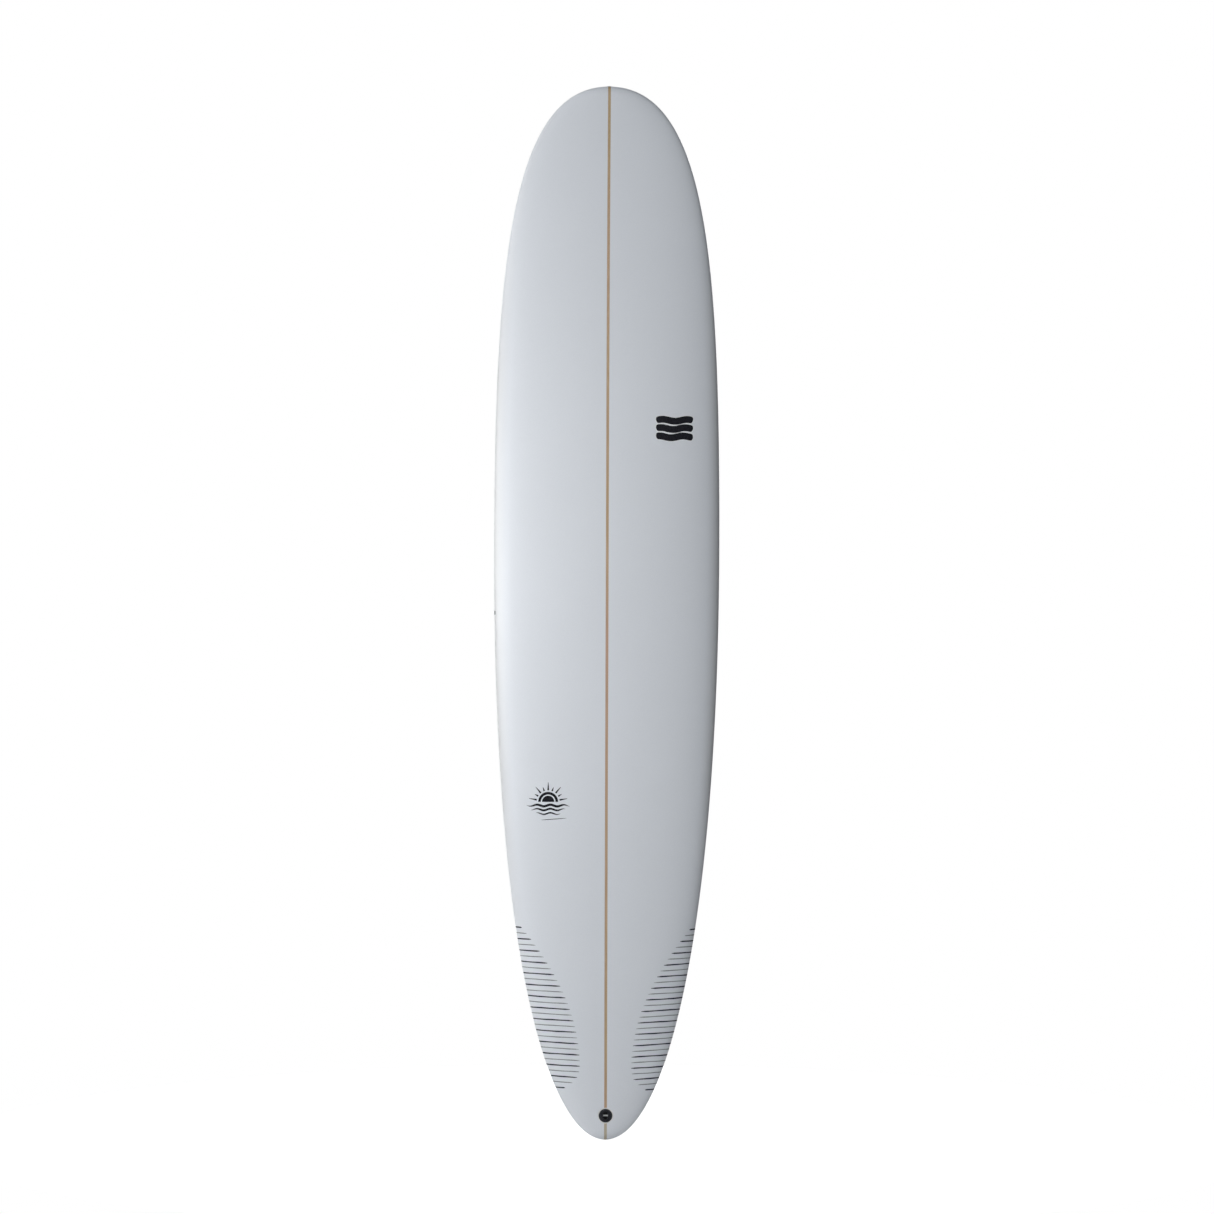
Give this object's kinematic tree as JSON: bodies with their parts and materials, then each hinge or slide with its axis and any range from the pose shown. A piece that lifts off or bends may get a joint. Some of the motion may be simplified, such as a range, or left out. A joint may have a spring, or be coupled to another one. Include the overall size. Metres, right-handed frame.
{
  "type": "longboard surfboard",
  "caption": "Round-nosed longboard with a foam core, wooden stringer and glossy skins, a leash plug in the deck, and a box fin with two smaller side fins under the tail.",
  "frame": {"origin": "middle of the flat of the bottom, on the stringer at mid-length", "axes": "+Z along the stringer towards the nose, +Y out of the bottom, on the fins' side, and +X towards the right-hand rail as one looks at the deck"},
  "size_m": [0.5906, 0.2763, 2.7432],
  "materials": {
    "foam": "matte",
    "stringer_wood": "matte",
    "deck_skin": "gloss",
    "bottom_skin": "gloss",
    "leash_plug": "satin",
    "box_plastic": "satin",
    "fin_composite": "gloss",
    "stainless": "satin",
    "pin_brass": "satin"
  },
  "bodies": {
    "board": {"foam_core_left": "foam", "foam_core_right": "foam", "stringer": "stringer_wood", "deck_laminate": "deck_skin", "bottom_laminate": "bottom_skin", "leash_plug_cup": "leash_plug", "leash_plug_bar": "stainless", "fin_box": "box_plastic", "side_plug_left_front": "box_plastic", "side_plug_left_rear": "box_plastic", "side_plug_right_front": "box_plastic", "side_plug_right_rear": "box_plastic"},
    "centre_fin": {"centre_fin": "fin_composite", "fin_cross_pin": "pin_brass"},
    "fin_screw": {"fin_screw": "stainless"},
    "fin_nut_plate": {"fin_nut_plate": "stainless"},
    "side_fin_left": {"side_fin_left": "fin_composite"},
    "side_fin_right": {"side_fin_right": "fin_composite"},
    "grub_left_front": {"grub_screw_left_front": "stainless"},
    "grub_left_rear": {"grub_screw_left_rear": "stainless"},
    "grub_right_front": {"grub_screw_right_front": "stainless"},
    "grub_right_rear": {"grub_screw_right_rear": "stainless"}
  },
  "joints": [
    {"name": "centre_fin_slide", "type": "slide", "parent": "board", "child": "centre_fin", "axis": [0, 0.091, 0.9959], "range_m": [-0.04, 0.04]},
    {"name": "fin_screw_turn", "type": "hinge", "parent": "centre_fin", "child": "fin_screw", "pos_m": [0, -0.03046, -1.01689], "axis": [0, 0.9959, -0.091], "range_deg": [0, 720]},
    {"name": "nut_plate_drop", "type": "slide", "parent": "centre_fin", "child": "fin_nut_plate", "axis": [0, -0.9959, 0.091], "range_m": [0, 0.00159]},
    {"name": "side_fin_left_lift", "type": "slide", "parent": "board", "child": "side_fin_left", "axis": [-0.1044, 0.9917, -0.0746], "range_m": [0, 0.025]},
    {"name": "side_fin_right_lift", "type": "slide", "parent": "board", "child": "side_fin_right", "axis": [0.1044, 0.9917, -0.0746], "range_m": [0, 0.025]},
    {"name": "grub_left_front_turn", "type": "hinge", "parent": "board", "child": "grub_left_front", "pos_m": [-0.14464, -0.03409, -0.97248], "axis": [0.5143, 0.8522, -0.0958], "range_deg": [0, 720]},
    {"name": "grub_left_rear_turn", "type": "hinge", "parent": "board", "child": "grub_left_rear", "pos_m": [-0.14747, -0.03843, -1.02623], "axis": [0.5143, 0.8522, -0.0958], "range_deg": [0, 720]},
    {"name": "grub_right_front_turn", "type": "hinge", "parent": "board", "child": "grub_right_front", "pos_m": [0.14464, -0.03409, -0.97248], "axis": [-0.5143, 0.8522, -0.0958], "range_deg": [0, 720]},
    {"name": "grub_right_rear_turn", "type": "hinge", "parent": "board", "child": "grub_right_rear", "pos_m": [0.14747, -0.03843, -1.02623], "axis": [-0.5143, 0.8522, -0.0958], "range_deg": [0, 720]}
  ],
  "couplings": [
    {"joint": "fin_screw_turn", "follows": "nut_plate_drop", "rad_per_m": 7915.8}
  ]
}
